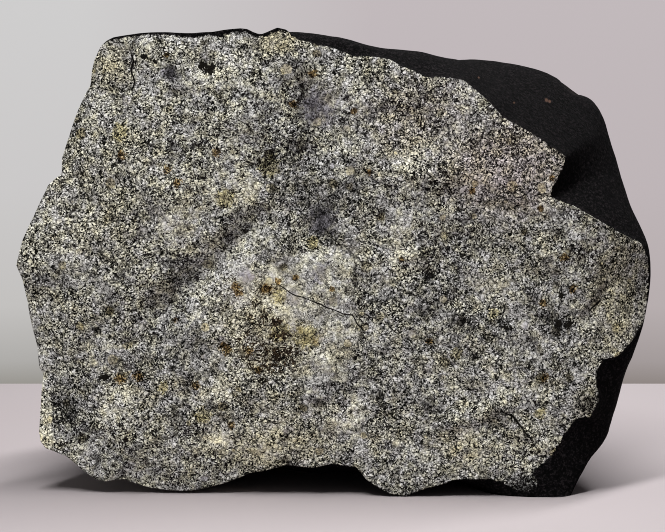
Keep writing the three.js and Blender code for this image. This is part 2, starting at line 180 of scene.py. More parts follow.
# Patches that are paler (clasts, fresh grains) or darker than the rest. Some of the darker ones are
# painted shade: in hollows and valleys of the break, in the recessed chip at the right, and on the
# low ledge at the lower right foot.
PALE_PATCHES = [
    [-33.8, 64.9, 2.1, 1.5, 0.6], [-14.3, 46.6, 3.9, 2.4, 0.55], [-33.4, 14.5, 2.4, 3.3, 0.6],
    [-17.3, 16.1, 3, 2, 0.7], [-17.8, 8.2, 2.4, 1.6, 0.9], [-10.9, 6.9, 3.3, 1.8, 0.6],
    [1.9, 11.6, 2.7, 2.1, 0.5], [10.1, 52.1, 2.7, 2.4, 0.55], [10.4, 38.2, 2.1, 4.8, 0.5],
    [22.4, 31.4, 3.6, 3, 0.45], [28.9, 16.9, 3.9, 2.4, 0.3], [20.6, 7.9, 4.5, 3.3, 0.35],
    [28.9, 8.6, 4.5, 3.9, 0.3], [-12, 27, 5, 6.5, 0.4], [-22.6, 40.9, 2.7, 3.9, 0.45],
    [-16.6, 65.9, 4.5, 3.3, 0.4], [8.5, 52, 1.5, 1.5, 0.5], [6.7, 54.6, 1.3, 1.2, 0.4],
    [-12.4, 46.6, 1.9, 1.8, 0.5], [-40.5, 29, 1.3, 1.3, 0.4], [26.5, 18.2, 1.3, 1.2, 0.4],
    [-18.7, 16, 1.2, 1.2, 0.4], [-10.1, 6.1, 1.5, 1.2, 0.35], [-16.1, 45.4, 1.3, 1.2, 0.35],
    [9.4, 38.6, 1.5, 1.5, 0.4], [1.9, 13.1, 1.8, 1.5, 0.45], [-31.6, 14.5, 1.5, 1.5, 0.3],
    [-17.3, 32.6, 2.7, 6, 0.35], [-5, 10.5, 9, 4.2, 0.3], [-12.5, 22, 3.6, 2.6, 0.5],
    [-12.5, 31.5, 4.5, 4.5, 0.6], [-8, 68.6, 2.4, 1.8, 0.5], [-44.2, 12, 1, 5, 0.5],
    [43, 29, 4, 7.5, 0.18], [-29.4, 66, 2.2, 2.2, 0.25],
]
# Darker patches: partly darker stone, partly painted shade.
DARK_AND_SHADED_PATCHES = [
    [-1.7, 41.9, 2.7, 2.7, 0.38], [-7.9, 49.1, 3, 3, 0.4], [-22.9, 23.6, 4.5, 3, 0.2],
    [-39.4, 12.4, 3.3, 3.9, 0.5], [17.2, 31.9, 4.8, 5.1, 0.3], [7.9, 29.6, 2.2, 3, 0.35],
    [33.4, 26.6, 1.8, 1.8, 0.5], [25.9, 25.9, 1.5, 1.2, 0.4], [-3.4, 51.4, 3, 11.4, 0.15],
    [-19.1, 34.9, 6, 2.1, 0.2], [-4.9, 61.1, 1.2, 1.8, 0.2], [38.5, 14, 1.8, 2.4, 0.7],
    [29.5, 1.6, 2.6, 1.7, 1.2],
]

# Patches of fine, even, bluish matrix; of warm, brownish or olive grains; and of pinkish grains.
FINE_PATCHES = [
    [-23.3, 21.8, 5, 6.5, 0.8], [14.2, 24.4, 4, 7, 0.8], [28.9, 26.6, 4.5, 7, 0.7],
    [-11.5, 39, 3, 2, 0.8], [-16.5, 36.3, 3.5, 2.2, 0.9], [-21.5, 33.6, 3.5, 2, 0.8],
    [-1.6, 41.6, 3, 2.5, 1], [43, 26, 3.6, 7.5, 0.5],
]
WARM_PATCHES = [
    [43, 28, 4, 8.5, 0.5], [38.5, 14, 1.8, 2.4, 0.7], [-33.2, 65, 2.6, 3.2, 0.5],
    [-8, 68.6, 2.8, 2.2, 0.7], [-11, 8, 9, 3.4, 0.5], [20, 7, 3.5, 3, 0.5], [-10, 26, 6.5, 8, 0.4],
    [-33, 45, 9, 12, 0.2],
]
PINK_PATCHES = [[26, 50, 9, 6.5, 1], [13, 58, 8, 5, 0.5]]

# Small spots as [x, z, radius]: rust round metal grains, olivine-rich chondrules, bluish
# shocked patches, and pits where a grain has fallen out, painted near black as their shade.
RUST_SPOTS = [
    [-16.5, 23, 0.65], [-15.9, 22.3, 0.65], [-14.6, 32.1, 0.65], [-14.2, 31.1, 0.65],
    [-12.7, 22.3, 0.6], [-11.2, 19.3, 0.5], [-0.1, 31.9, 0.4], [-10, 31.7, 0.7], [-8.2, 32.9, 0.55],
    [-5.5, 33.5, 0.5], [-24.8, 66.8, 0.45], [-31.6, 51.8, 0.6], [-17.4, 52.3, 0.6],
    [-24.7, 49.8, 0.6], [-23, 47.8, 0.6], [3.2, 58.4, 0.45], [5.4, 49.4, 0.45], [32.9, 48.5, 0.45],
    [31.1, 43.9, 0.45], [20.9, 46.6, 0.5], [10.4, 36.2, 0.45], [34.9, 36.5, 0.6], [36.3, 31.7, 0.6],
    [31.7, 29.5, 0.6], [14.7, 23.8, 0.45], [32.1, 18.2, 0.75], [-32.2, 17.9, 0.75],
    [-29.5, 18.4, 0.75], [-20.8, 17, 0.65], [-15.4, 10.9, 0.55], [-23.8, 26.9, 0.45],
    [-2.9, 64, 0.6], [-5.8, 59.5, 0.6],
]
OLIVE_SPOTS = [
    [-4.1, 24.7, 1.5], [-7.9, 25.4, 1.2], [-8, 30.7, 0.9], [24.3, 28, 0.75], [18.7, 22, 0.75],
    [31.4, 12.7, 0.75], [-25.6, 16.7, 0.75], [-19.6, 12.4, 1.05], [-31.9, 55.4, 1.05],
    [-9.4, 50.3, 1.35], [-2.9, 38.6, 0.75], [-16.1, 45.4, 1.05],
]
SLATE_SPOTS = [
    [-2, 34.1, 1.05], [-5.8, 30.4, 0.9], [-13, 33.7, 0.9], [-24.4, 64.1, 0.9], [-2.3, 59, 2.4],
    [-1.7, 41.9, 1.8],
]
PIT_SHADE_SPOTS = [
    [-19.5, 65.3, 0.55], [-17.8, 65.2, 0.5], [-18.5, 64.7, 0.72], [-28, 66.4, 0.38],
    [-26.5, 65.7, 0.38], [34.2, 26.6, 0.45], [35.8, 26.3, 0.6], [34.4, 30.8, 0.45],
    [26.3, 25.8, 0.45], [30.8, 14.3, 0.3], [32.3, 14.3, 0.3], [-31.4, 8.5, 0.45],
    [-34.9, 18.1, 0.6],
]

# Where dark brown matrix shows as a network between pale islands.
NETWORK_PATCHES = [
    [-8.6, 26.8, 1.1, 0.7, 1], [-7.8, 24.7, 1.4, 0.8, 0.9], [-7.4, 22.2, 2.4, 1, 0.6],
    [-12.5, 23.5, 2.8, 2, 0.4], [-10, 21.2, 4.2, 2.8, 0.45], [-7.5, 19.4, 2.6, 1.3, 0.35],
    [-10, 31.5, 1.5, 1, 0.45], [-15.5, 31, 2.2, 2.8, 0.25], [-11.5, 28, 2.8, 2.4, 0.35],
]

# Where the crust laps over the edge of the break (above 0) or is chipped off beyond it, as
# [x, z, half width, half height, millimetres].
EDGE_SHIFTS = [
    [-21.5, 69.6, 11.5, 1.6, 0.6], [-16.8, 69, 1.2, 1.2, 0.7], [-34, 68.4, 3.5, 1.6, 0.7],
    [-10, 70.2, 4.5, 1, 0.4], [29.5, 1.6, 2.4, 1.5, -3],
]

# Brownish nicks in the crust, as [x, z, radius].
CRUST_NICKS = [[22.2, 63.4, 0.1], [27.6, 59.6, 0.1], [33.1, 59.9, 0.18], [33.6, 59.7, 0.15]]

# Outline of the large pale clast in the middle, as [x, z].
CLAST = [
    [-7.9, 36.8], [-4.9, 37.4], [-2.6, 37.6], [-1.6, 38.3], [1.6, 38.6], [3.1, 37.1], [3.4, 35.2],
    [3.1, 32.6], [3.4, 30.8], [3.1, 28.6], [4.6, 26.6], [4.1, 24.7], [3.4, 22.6], [2.9, 20.2],
    [2.2, 18.1], [-2.9, 17.3], [-5.3, 18.1], [-6.7, 20.2], [-4.9, 21.7], [-5.3, 23.2], [-6.4, 24.7],
    [-8.3, 27.1], [-10.4, 28.1], [-11, 29.6], [-10.8, 31.9], [-10, 34.1], [-9.3, 35.6],
]

# Hairline cracks as [x, z] lines with their half width; their dark lines are painted shade.
CRACKS = [
    (0.09, [[-8.6, 32.9], [-6.8, 31.6], [-5.2, 30.7], [-3.4, 30.1], [-1.7, 29.6], [-0.3, 29],
            [1.4, 28.3], [2.9, 27.8], [4.1, 26.2], [5, 24.7]]),
    (0.14, [[41.5, 30.4], [40.1, 29], [38.3, 26.9]]),
    (0.15, [[-30.2, 67.5], [-29.9, 65.8], [-30.1, 64.1], [-29.8, 62.6], [-30.2, 61]]),
    (0.06, [[-42.3, 17.5], [-42.8, 14], [-42.9, 10.5], [-42.2, 7.6]]),
    (0.1, [[25.1, 13.8], [26.3, 13], [28.3, 11.3], [29.3, 10], [30.6, 8.2], [31.6, 6.7]]),
]
MARK_REACH = 6.0  # marks are followed this far from their edges
SHIFT_DEPTH = 10  # the shifts of the crust's edge act on points nearer than this

# ---- Camera and stage, in millimetres ----

CAMERA_PLACE = [-0.56, -305.36, 64.57]
CAMERA_DOWN = 6.0  # degrees
CAMERA_LENS = 101.05
SENSOR_WIDTH = 36.0
BOARD_LEFT, BOARD_RIGHT = -210.0, 210.0
BOARD_FRONT, BOARD_BACK = -210.0, 78.0
BOARD_ROUNDING = 2.0
BOARD_THICKNESS = 12.0


def linear(colour):
    """Linear red, green, blue and alpha of an sRGB hex colour such as '#a09080'."""
    shares = [int(colour[place:place + 2], 16) / 255 for place in (1, 3, 5)]
    return [s / 12.92 if s <= 0.04045 else ((s + 0.055) / 1.055) ** 2.4 for s in shares] + [1.0]


# ---- Small helpers for whole arrays ----

def ease(value):
    """Smooth step: 3v^2 - 2v^3."""
    return value * value * (3 - 2 * value)


def mix(a, b, share):
    """Straight blend from a to b."""
    return a + (b - a) * share


def even_ring(values, bearing):
    """Closed curve through values at even bearings: a cubic through the four nearest."""
    values = np.asarray(values, float)
    place = (bearing / TURN) % 1 * len(values)
    first = np.floor(place).astype(int)
    share = place - first
    a, b, c, d = (values[(first + step) % len(values)] for step in (-1, 0, 1, 2))
    bend = (3 * (b - c) + d - a) * share + 2 * a - 5 * b + 4 * c - d
    return b + 0.5 * share * (c - a + share * bend)


def through_knots(knots, values, place):
    """Cubic through values at uneven knots that never swings past them: each slope is the
    harmonic mean of the rises on its two sides, or 0 where they differ in sign."""
    knots = np.asarray(knots, float)
    widths = np.diff(knots)
    rises = np.diff(values, axis=0) / widths[:, None]
    before, after = rises[:-1], rises[1:]
    product = before * after
    total = np.where(product > 0, before + after, 1.0)
    inner = np.where(product > 0, 2 * product / total, 0.0)
    slopes = np.concatenate([rises[:1], inner, rises[-1:]])
    cell = np.clip(np.searchsorted(knots, place, side="left") - 1, 0, len(knots) - 2)
    column = np.arange(len(place))
    width = widths[cell]
    share = (place - knots[cell]) / width
    early = share * (1 - share) ** 2 * width * slopes[cell, column]
    late = share ** 2 * (share - 1) * width * slopes[cell + 1, column]
    return mix(values[cell, column], values[cell + 1, column], ease(share)) + early + late


def lattice_value(i, j, k):
    """Repeatable random value from -1 to 1 for whole-numbered lattice points."""
    hashed = np.sin(i * 127.1 + j * 311.7 + k * 74.7) * 43758.5453
    return 2 * (hashed - np.floor(hashed)) - 1


LUMP_GAIN = 1.6  # brings the blended tilts up to a height of about 1


def lumps(points, spacing):
    """Smooth lumps from about -1 to 1, one every `spacing` millimetres: each point of a skewed
    lattice tilts the space around it at random, and the eight nearest tilts are blended."""
    x, y, z = points.T
    place = np.stack([x + 0.37 * z, y + 0.41 * x, z - 0.29 * y]) / spacing
    cell = np.floor(place)
    within = place - cell
    share = ease(within)
    total = 0.0
    for corner in range(8):
        side = [corner & 1, (corner >> 1) & 1, (corner >> 2) & 1]
        i, j, k = (cell[axis] + side[axis] for axis in range(3))
        tilts = (lattice_value(i, j, k), lattice_value(i + 31, j, k), lattice_value(i, j + 47, k))
        height = sum(tilt * (within[axis] - side[axis]) for axis, tilt in enumerate(tilts))
        for axis in range(3):
            height = height * (share[axis] if side[axis] else 1 - share[axis])
        total = total + height
    return LUMP_GAIN * total


def round_lumps(points, sizes):
    """Sum of smooth lumps of several [spacing, height]."""
    return sum(height * lumps(points, spacing) for spacing, height in sizes)


def creased_lumps(points, sizes):
    """Sum of lumps that meet in sharp valleys: the usual level less each lump's size."""
    return sum(height * (CREASE_LEVEL - abs(lumps(points, spacing))) for spacing, height in sizes)


# ---- The break ----

def rim_radius_and_depth(bearing):
    """Rim's distance from the axis and its depth: straight between its points by bearing."""
    x, y, z = np.array(RIM, float).T
    return [np.interp(bearing, np.arctan2(z - AXIS_Z, x), values, period=TURN)
            for values in (np.hypot(x, z - AXIS_Z), y)]


def from_line(x, z, from_x, from_z, to_x, to_z):
    """Distance from a straight stretch, its sign (which side) and the share along it."""
    run_x, run_z = to_x - from_x, to_z - from_z
    length = run_x ** 2 + run_z ** 2
    along = np.clip(((x - from_x) * run_x + (z - from_z) * run_z) / length, 0, 1)
    away = np.hypot(x - from_x - along * run_x, z - from_z - along * run_z)
    side = np.sign((x - from_x) * run_z - (z - from_z) * run_x)
    return away, side, along


def from_oval(x, z, middle_x, middle_z, half_width, half_height):
    """Squared distance from an oval's middle, counted so that its edge is at 1."""
    return ((x - middle_x) / half_width) ** 2 + ((z - middle_z) / half_height) ** 2


def roughness(points):
    """How deep the lumps of broken stone leave each point."""
    return (round_lumps(points, ROUND_LUMPS) + creased_lumps(points, CREASED_LUMPS)
            + creased_lumps(points, FINE_CREASED_LUMPS))


def break_relief(x, z):
    """Named hollows and valleys of the break, each a bell around its middle or line, on top of
    its lumps."""
    relief = roughness(np.stack([x, np.zeros_like(x), z], -1))
    for *oval, depth in HOLLOWS:
        relief += depth * np.exp(-from_oval(x, z, *oval))
    for *ends, half_width, depth in VALLEYS:
        away = from_line(x, z, *ends)[0]
        relief += depth * np.exp(-((away / half_width) ** 2))
    return relief


def break_points(share, bearing):
    """Points of the break: the radius grows from a smooth oval at the middle to the rim, and
    the depth is the rim's, taken up near the edge, plus the relief."""
    oval = 1 / np.hypot(np.cos(bearing) / FACE_HALF_WIDTH, np.sin(bearing) / FACE_HALF_HEIGHT)
    rim_radius, rim_depth = rim_radius_and_depth(bearing)
    radius = share * mix(oval, rim_radius, share ** 2)
    x, z = radius * np.cos(bearing), AXIS_Z + radius * np.sin(bearing)
    turn_back = share ** EDGE_ROUNDING
    y = rim_depth * turn_back + break_relief(x, z) * mix(1, RIM_ROUGHNESS, turn_back)
    return np.stack([x, y, z], -1)


# ---- The crust ----

def planed(points, flat):
    """Points beyond a flat are brought back to it, with its edge rounded off."""
    *normal, distance, rounding = flat
    normal = np.array(normal) / np.linalg.norm(normal)
    over = (points - BODY_MIDDLE) @ normal - distance
    return points - ((over + np.hypot(over, rounding)) / 2)[:, None] * normal


def pressed_depth(points):
    """How far thumbprints and lumps press the crust in."""
    depth = round_lumps(points, CRUST_LUMPS) + round_lumps(points, FINE_CRUST_LUMPS)
    for x, y, z, radius, deep in THUMBPRINTS:
        depth += deep * np.exp(-(((points - [x, y, z]) / radius) ** 2).sum(-1))
    return depth


def foot_drop(points):
    """How far the feet bring the underside down."""
    x, y, z = points.T
    drop = sum(deep * np.exp(-((x - foot_x) ** 2 + (y - foot_y) ** 2) / radius ** 2)
               for foot_x, foot_y, radius, deep in FEET)
    return drop * ease(np.clip(1 - z / UNDERSIDE_Z, 0, 1))


def crust_points(share, bearing):
    """Points of the crust and how far each lies past the edge of the break: a loft from the rim
    through girth, waist and back edge to the middle of the back, planed, pressed in towards
    the body's middle, and let down at the feet."""
    rim = break_points(np.ones_like(share), bearing)
    radii = [np.hypot(rim[:, 0], rim[:, 2] - AXIS_Z)]
    depths = [rim[:, 1]]
    for ring in (GIRTH, WAIST, BACK_EDGE):
        radius, depth = np.array(ring, float).T
        radii.append(even_ring(radius, bearing))
        depths.append(even_ring(depth, bearing))
    radii += [np.zeros_like(share), -radii[3]]
    depths += [np.full_like(share, BACK_MIDDLE_Y), depths[3]]
    radius = through_knots(OUTLINE_STEPS, np.array(radii), share)
    depth = through_knots(OUTLINE_STEPS, np.array(depths), share)
    smooth = np.stack([radius * np.cos(bearing), depth, AXIS_Z + radius * np.sin(bearing)], -1)
    points = smooth
    for flat in FLATS:
        points = planed(points, flat)
    reach = even_ring(BROKEN_REACH, bearing)
    behind = depth - rim[:, 1]
    broken = ease(np.clip((reach - behind) / STEP_WIDTH, 0, 1))
    press = mix(pressed_depth(smooth), BROKEN_STEP + roughness(smooth), broken)
    inward = BODY_MIDDLE - points
    points = points + inward * (press / np.linalg.norm(inward, axis=1))[:, None]
    points[:, 2] -= foot_drop(points)
    freed = ease(np.clip(share / CRUST_LEAD, 0, 1))[:, None]
    from_rim = np.linalg.norm(smooth - rim, axis=1)
    past = mix(from_rim, behind - reach, np.clip(reach, 0, 1))
    return mix(smooth, points, freed), past


# ---- Markings ----

def smudges(x, z, patches):
    """Strongest of some soft-edged ovals: each falls to 0 like a flat-topped bell."""
    total = np.zeros_like(x)
    for *oval, strength in patches:
        total = np.maximum(total, strength * np.exp(-0.7 * from_oval(x, z, *oval) ** 1.5))
    return total


def spots(x, z, sizes):
    """Nearness to small round spots: 1 at a middle, 0.5 at its radius, 0 at twice that."""
    total = np.zeros_like(x)
    for middle_x, middle_z, radius in sizes:
        away = np.hypot(x - middle_x, z - middle_z)
        total = np.maximum(total, np.clip(1 - away / (2 * radius), 0, 1))
    return total


def inside_outline(x, z, outline):
    """Distance to a closed outline, above 0 inside it: the least distance to its sides, with
    the sign from counting how many sides a level ray crosses."""
    nearest = np.full_like(x, MARK_REACH)
    inside = np.zeros(len(x), bool)
    for (ax, az), (bx, bz) in zip(outline, outline[1:] + outline[:1]):
        nearest = np.minimum(nearest, from_line(x, z, ax, az, bx, bz)[0])
        if az != bz:
            crosses = (az > z) != (bz > z)
            inside ^= crosses & (x < ax + (z - az) * (bx - ax) / (bz - az))
    return np.where(inside, nearest, -nearest)


def crack_marks(x, z):
    """Signed distance to the nearest crack in half widths, and how fully the crack shows: its
    ends taper off."""
    best = np.full_like(x, MARK_REACH)
    signed = np.full_like(x, MARK_REACH)
    shown = np.zeros_like(x)
    for half_width, line in CRACKS:
        for index, (start, end) in enumerate(zip(line, line[1:])):
            away, side, along = from_line(x, z, *start, *end)
            closer = away < best
            from_end = np.minimum(index + along, len(line) - 1 - index - along)
            ends = np.clip(2 * from_end, 0, 1)
            best = np.where(closer, away, best)
            signed = np.where(closer, away * np.where(side == 0, 1, side) / half_width, signed)
            shown = np.where(closer, ends * np.clip(2 - away, 0, 1), shown)
    return signed, shown


def wobble(points, near, far):
    """Shift in millimetres that frays the edge of a mark: small lumps on broad ones, each from
    its own stretch of the lumps' endless field."""
    return 0.5 * lumps(points + near, 1.7) + 0.8 * lumps(points + far, 4.3)


def markings(points, past):
    """Every mark of the stone as values at its points, by attribute name."""
    x, y, z = points.T
    across, up = wobble(points, 0, 90), wobble(points, 40, -70)
    crack, crack_shown = crack_marks(x + 0.4 * lumps(points, 1.7), z + 0.4 * lumps(points, 2.3))
    edge_shift = np.zeros_like(x)
    for *oval, shift in EDGE_SHIFTS:
        edge_shift += shift * np.exp(-from_oval(x, z, *oval)) * (y < SHIFT_DEPTH)
    tone, dark, fine, warm, pink = (
        smudges(x + across, z + up, patches)
        for patches in (PALE_PATCHES, DARK_AND_SHADED_PATCHES, FINE_PATCHES, WARM_PATCHES, PINK_PATCHES))
    return {
        "past_edge": past + edge_shift,
        # Paler patches less darker ones, which are partly painted shade.
        "tone": tone - dark,
        "clast": inside_outline(x + 0.3 * across, z + 0.3 * up, CLAST),
        "rust": spots(x, z, RUST_SPOTS),
        "olive": spots(x, z, OLIVE_SPOTS),
        "slate": spots(x, z, SLATE_SPOTS),
        "pit_shade": spots(x + 0.5 * across, z + 0.5 * up, PIT_SHADE_SPOTS),
        "net": smudges(x, z, NETWORK_PATCHES),
        "fine": fine,
        "warm": warm,
        "pink": pink,
        "crack": crack,
        "crack_shown": crack_shown,
    }


# ---- The skin ----

def on_disc(columns, rows):
    """Even square grid laid on a disc without pinching: u * sqrt(1 - v^2 / 2) across and
    v * sqrt(1 - u^2 / 2) up, as the share of the radius and the bearing."""
    u, v = np.meshgrid(np.linspace(-1, 1, columns + 1), np.linspace(-1, 1, rows + 1))
    across, up = u * np.sqrt(1 - v * v / 2), v * np.sqrt(1 - u * u / 2)
    return np.minimum(1, np.hypot(across, up)).ravel(), np.arctan2(up, across).ravel()


def outer_ring(columns, rows):
    """True for the grid's outermost points."""
    ring = np.ones((rows + 1, columns + 1), bool)
    ring[1:-1, 1:-1] = False
    return ring


def split_cells(index):
    """Two triangles for each cell of an index grid, cut towards the middle of the sheet."""
    rows, columns = index.shape[0] - 1, index.shape[1] - 1
    a, b = index[:-1, :-1], index[:-1, 1:]
    d, c = index[1:, :-1], index[1:, 1:]
    row, column = np.mgrid[:rows, :columns]
    rising = (row < rows / 2) == (column < columns / 2)
    first = np.stack([a, b, np.where(rising, c, d)], -1)
    second = np.stack([np.where(rising, a, b), c, d], -1)
    return np.stack([first, second], 2)


def rim_cells(back, front):
    """The back sheet's outermost cells, as faces that take in the front's in-between points: each
    is read round its cell of a grid as fine as the front's, where -1 means no point."""
    fine = np.where(outer_ring(FRONT_COLUMNS, FRONT_ROWS), front, -1)
    fine[::2, ::2] = back
    cells = 2 * np.argwhere(outer_ring(BACK_COLUMNS - 1, BACK_ROWS - 1))
    around = ((1, 0), (2, 0), (2, 1), (2, 2), (1, 2), (0, 2), (0, 1), (0, 0))
    faces = np.stack([fine[tuple((cells + step).T)] for step in around], -1)
    return [[point for point in face if point >= 0] for face in faces.tolist()]


def stone_skin():
    """Points and faces of the whole stone, how far each point lies past the edge of the break,
    and the grids of the break's sheet and the crust's, which are sewn together at the rim."""
    share, bearing = on_disc(FRONT_COLUMNS, FRONT_ROWS)
    front_points = break_points(share, bearing)
    rim_radius = rim_radius_and_depth(bearing)[0]
    reach = even_ring(BROKEN_REACH, bearing)
    radius = np.hypot(front_points[:, 0], front_points[:, 2] - AXIS_Z)
    front_past = radius - rim_radius - reach * np.clip(reach, 0, 1) * share ** EDGE_ROUNDING
    front = np.arange(len(share)).reshape(FRONT_ROWS + 1, FRONT_COLUMNS + 1)

    share, bearing = on_disc(BACK_COLUMNS, BACK_ROWS)
    ring = outer_ring(BACK_COLUMNS, BACK_ROWS)
    inner = ~ring.ravel()
    crust_share = (1 - share[inner]) ** BACK_CROWDING
    back_points, back_past = crust_points(crust_share, bearing[inner])
    back = front[::2, ::2].copy()
    back[~ring] = len(front_points) + np.arange(inner.sum())

    points = np.concatenate([front_points, back_points])
    points[:, 2] = np.maximum(points[:, 2], 0)
    past = np.concatenate([front_past, back_past])
    faces = split_cells(front).reshape(-1, 3).tolist()
    faces += split_cells(back)[1:-1, 1:-1, :, ::-1].reshape(-1, 3).tolist()
    faces += rim_cells(back, front)
    return points, faces, past, front, back


def sheet_places(front, back, faces):
    """Place of each face corner on the flat UV map: the break's sheet fills the left half and
    the crust's sheet the right half, each as its square grid."""
    places = np.zeros((2, back.max() + 1, 2))
    for sheet in (front, back):
        v, u = np.mgrid[0:1:complex(sheet.shape[0]), 0:1:complex(sheet.shape[1])]
        for side, across in enumerate((0.01 + 0.48 * u, 0.99 - 0.48 * u)):
            places[side, sheet] = np.stack([across, 0.01 + 0.98 * v], -1)
    corners = np.array([point for face in faces for point in face])
    on_back = np.arange(len(corners)) >= 6 * FRONT_COLUMNS * FRONT_ROWS
    return places[on_back.astype(int), corners]


def new_object(name, data):
    """An object that shows the data, linked into the scene."""
    made = bpy.data.objects.new(name, data)
    bpy.context.scene.collection.objects.link(made)
    return made


def new_piece(name, points, faces, material):
    """A smooth mesh object at the origin, with its place in its mesh, in metres."""
    mesh = bpy.data.meshes.new(name)
    mesh.from_pydata((points * MM).tolist(), [], faces)
    mesh.polygons.foreach_set("use_smooth", np.ones(len(mesh.polygons), bool))
    mesh.materials.append(material)
    mesh.update()
    return new_object(name, mesh)


def add_values(piece, values):
    """Stores one number at each point of a piece under each name."""
    for name, numbers in values.items():
        attribute = piece.data.attributes.new(name, "FLOAT", "POINT")
        attribute.data.foreach_set("value", np.ascontiguousarray(numbers, np.float32))


# ---- Materials ----

def add_node(tree, kind, *links, **given):
    """Adds a shader node of a kind, which may name its operation after a space. Links fill its
    shown sockets in order; a MapRange's are the value, where it starts and ends, and what these
    become. Of the given names, those with a capital are sockets too, with _ for a space, and the
    others are the node's settings. A socket takes a fixed value, an sRGB hex colour, an output,
    or a node whose first output it is."""
    kind, *operation = kind.split()
    node = tree.nodes.new("ShaderNode" + kind)
    if operation:
        node.operation = operation[0]
    for name, value in given.items():
        if name.islower():
            setattr(node, name, value)
    wanted = list(zip([socket for socket in node.inputs if socket.enabled], links))
    wanted += [(node.inputs[name.replace("_", " ")], link) for name, link in given.items()
               if not name.islower()]
    for socket, link in wanted:
        if isinstance(link, str):
            link = linear(link)
        if isinstance(link, bpy.types.Node):
            link = next(output for output in link.outputs if output.enabled)
        if isinstance(link, bpy.types.NodeSocket):
            tree.links.new(link, socket)
        else:
            socket.default_value = link
    return node


def set_stops(node, stops):
    """Puts [place, sRGB hex colour] stops on a colour ramp node, and returns the node."""
    elements = node.color_ramp.elements
    while len(elements) < len(stops):
        elements.new(1.0)
    for element, (place, colour) in zip(elements, stops):
        element.position = place
        element.color = linear(colour)
    return node


def new_material(name):
    """An empty material, its add-node function, and the place in the piece in millimetres."""
    material = bpy.data.materials.new(name)
    material.use_nodes = True
    material.node_tree.nodes.clear()
    add = partial(add_node, material.node_tree)
    return material, add, add("VectorMath SCALE", add("TexCoord").outputs["Object"], Scale=1 / MM)


# What a second colour does to a first: it covers or multiplies it.
COVER = {"data_type": "RGBA"}
STAIN = {"data_type": "RGBA", "blend_type": "MULTIPLY"}

MARKS = ("past_edge", "tone", "clast", "rust", "olive", "slate", "pit_shade", "net", "fine", "warm",
         "pink", "crack", "crack_shown")

# How many times each pattern repeats in a millimetre, on the break and then on the crust.
DRIFT_RATE, FINES_RATE, HUE_RATE, CLOUD_RATE, MATRIX_RATE = 1.4, 6.0, 0.6, 0.28, 0.16
VEIN_RATE, WEB_RATE = 0.42, 0.75
CRUST_SPECK_RATE, CRUST_RELIEF_RATE, WEAR_AND_LIGHT_RATE = 2.2, 1.2, 0.15
# Weight of each ingredient in a crystal's brightness, where 0.5 is the usual brightness. Speckle
# differs from crystal to crystal, and the rest shifts whole patches.
GRAIN_WEIGHT, CLUMP_WEIGHT, FINES_WEIGHT = 1.3, 0.45, 0.9
CLOUD_WEIGHT, TONE_WEIGHT, CHONDRULE_WEIGHT = 0.8, 0.35, 0.42
COARSE_LIFT, CLAST_LIFT, SLATE_DROP = 0.07, 0.13, -0.03
# Share of the speckle that is lost in a chondrule, in the clast and in a bluish patch.
CHONDRULE_CALM, CLAST_CALM, SLATE_CALM = 0.35, 0.32, 0.6
# Speckle's strength in fine bluish matrix and in coarse pale matrix.
FINE_SPECKLE, COARSE_SPECKLE = 0.55, 1.2
FINE_SHIFT = 0.14  # how far a full patch moves the matrix towards the fine kind
TONE_GAIN = 0.35   # how much a full patch brightens or darkens all its grains
CLAST_EVEN = 0.6   # share of the cloudy shifts that is lost in the clast
EDGE_FRAY = 1.2    # millimetres that the edges of clast and crust wander with the drift


